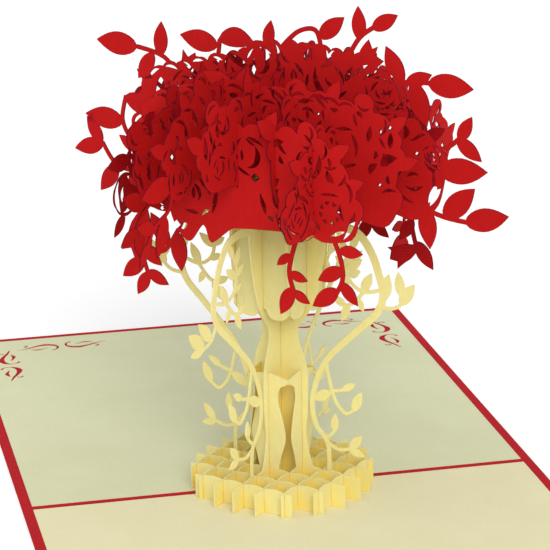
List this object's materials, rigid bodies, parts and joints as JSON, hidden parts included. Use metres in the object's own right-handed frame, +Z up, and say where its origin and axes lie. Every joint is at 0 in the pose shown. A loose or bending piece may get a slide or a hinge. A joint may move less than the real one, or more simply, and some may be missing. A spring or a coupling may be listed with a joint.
{
  "type": "pop-up greeting card",
  "caption": "Open folded card with a standing paper tree of interlocking slices: lattice base, waisted trunk, curling vines and a leafy rose canopy.",
  "frame": {"origin": "middle of the fold, on the underside of the card", "axes": "+X along the fold, +Y away from the viewer across the back half of the card, +Z up through the tree"},
  "size_m": [0.15, 0.3, 0.1432],
  "materials": {
    "red_card": "matte ribbed card",
    "cream_insert": "smooth pearl paper",
    "cream_paper": "smooth paper",
    "red_paper": "smooth paper"
  },
  "bodies": {
    "root": {"base_slice_a1": "cream_paper", "base_slice_a2": "cream_paper", "base_slice_a3": "cream_paper", "base_slice_a5": "cream_paper", "base_slice_a6": "cream_paper", "base_slice_a7": "cream_paper", "base_slice_b1": "cream_paper", "base_slice_b2": "cream_paper", "base_slice_b3": "cream_paper", "base_slice_b5": "cream_paper", "base_slice_b6": "cream_paper", "base_slice_b7": "cream_paper", "canopy_slice_a1": "red_paper", "canopy_slice_a2": "red_paper", "canopy_slice_a3": "red_paper", "canopy_slice_a4": "red_paper", "canopy_slice_a5": "red_paper", "canopy_slice_a6": "red_paper", "canopy_slice_b1": "red_paper", "canopy_slice_b2": "red_paper", "canopy_slice_b3": "red_paper", "canopy_slice_b4": "red_paper", "canopy_slice_b5": "red_paper", "canopy_slice_b6": "red_paper", "card_cover": "red_card", "crown_panel_a_back": "cream_paper", "crown_panel_a_front": "cream_paper", "crown_panel_b_back": "cream_paper", "crown_panel_b_front": "cream_paper", "insert_back": "cream_insert", "insert_front": "cream_insert", "trunk_slice_a": "cream_paper", "trunk_slice_b": "cream_paper"}
  },
  "joints": []
}
